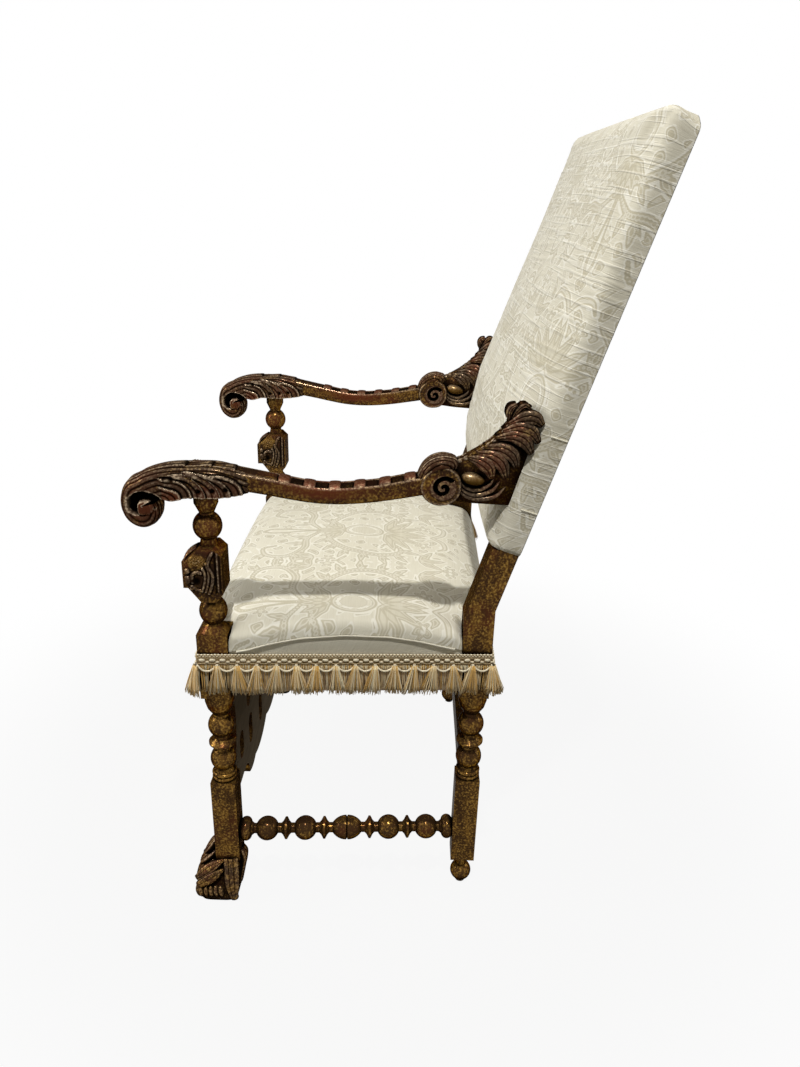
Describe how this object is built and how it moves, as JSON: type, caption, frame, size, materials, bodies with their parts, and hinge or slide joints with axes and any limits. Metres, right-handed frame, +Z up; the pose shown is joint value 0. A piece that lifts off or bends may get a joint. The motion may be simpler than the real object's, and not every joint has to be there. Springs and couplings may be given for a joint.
{
  "type": "upholstered throne armchair",
  "caption": "High-backed throne armchair with turned legs and stretchers, carved scroll arms, pierced front stretcher, padded damask seat and back with braid and tassel fringe.",
  "frame": {"origin": "floor level, under the middle of the chair's bounding box", "axes": "+Z up, -Y the way the sitter faces, +X the sitter's left"},
  "size_m": [0.658, 0.7005, 1.1627],
  "materials": {
    "gilt_walnut": "dark walnut, carved, with rubbed gold and red ground, waxed",
    "beech": "plain planed beech, unfinished",
    "damask": "ivory damask, tone on tone",
    "gimp": "woven braid in cream and old gold",
    "fringe": "cut tassel fringe in cream and beige",
    "webbing": "woven jute webbing",
    "hessian": "coarse jute cloth",
    "stuffing": "packed hair and fibre",
    "steel": "plain steel"
  },
  "bodies": {
    "root": {"arm_left": "gilt_walnut", "arm_right": "gilt_walnut", "back_bottom_rail": "beech", "back_cover": "damask", "back_hessian": "hessian", "back_outside_cover": "damask", "back_stuffing": "stuffing", "back_top_rail": "beech", "back_webbing": "webbing", "fringe_front": "fringe", "fringe_left": "fringe", "fringe_rear": "fringe", "fringe_right": "fringe", "front_foot_left": "gilt_walnut", "front_foot_right": "gilt_walnut", "front_post_left": "gilt_walnut", "front_post_right": "gilt_walnut", "front_seat_rail": "beech", "front_stretcher": "gilt_walnut", "gimp_front": "gimp", "gimp_left": "gimp", "gimp_rear": "gimp", "gimp_right": "gimp", "glue_block_front_left": "beech", "glue_block_front_right": "beech", "glue_block_rear_left": "beech", "glue_block_rear_right": "beech", "glue_block_screws": "steel", "left_seat_rail": "beech", "rear_foot_left": "gilt_walnut", "rear_foot_right": "gilt_walnut", "rear_post_left": "gilt_walnut", "rear_post_right": "gilt_walnut", "rear_seat_rail": "beech", "rear_stretcher": "gilt_walnut", "right_seat_rail": "beech", "seat_cover": "damask", "seat_hessian": "hessian", "seat_stuffing": "stuffing", "seat_webbing": "webbing", "side_stretcher_left": "gilt_walnut", "side_stretcher_right": "gilt_walnut", "tenon_pegs": "beech", "webbing_tacks": "steel"}
  },
  "joints": []
}
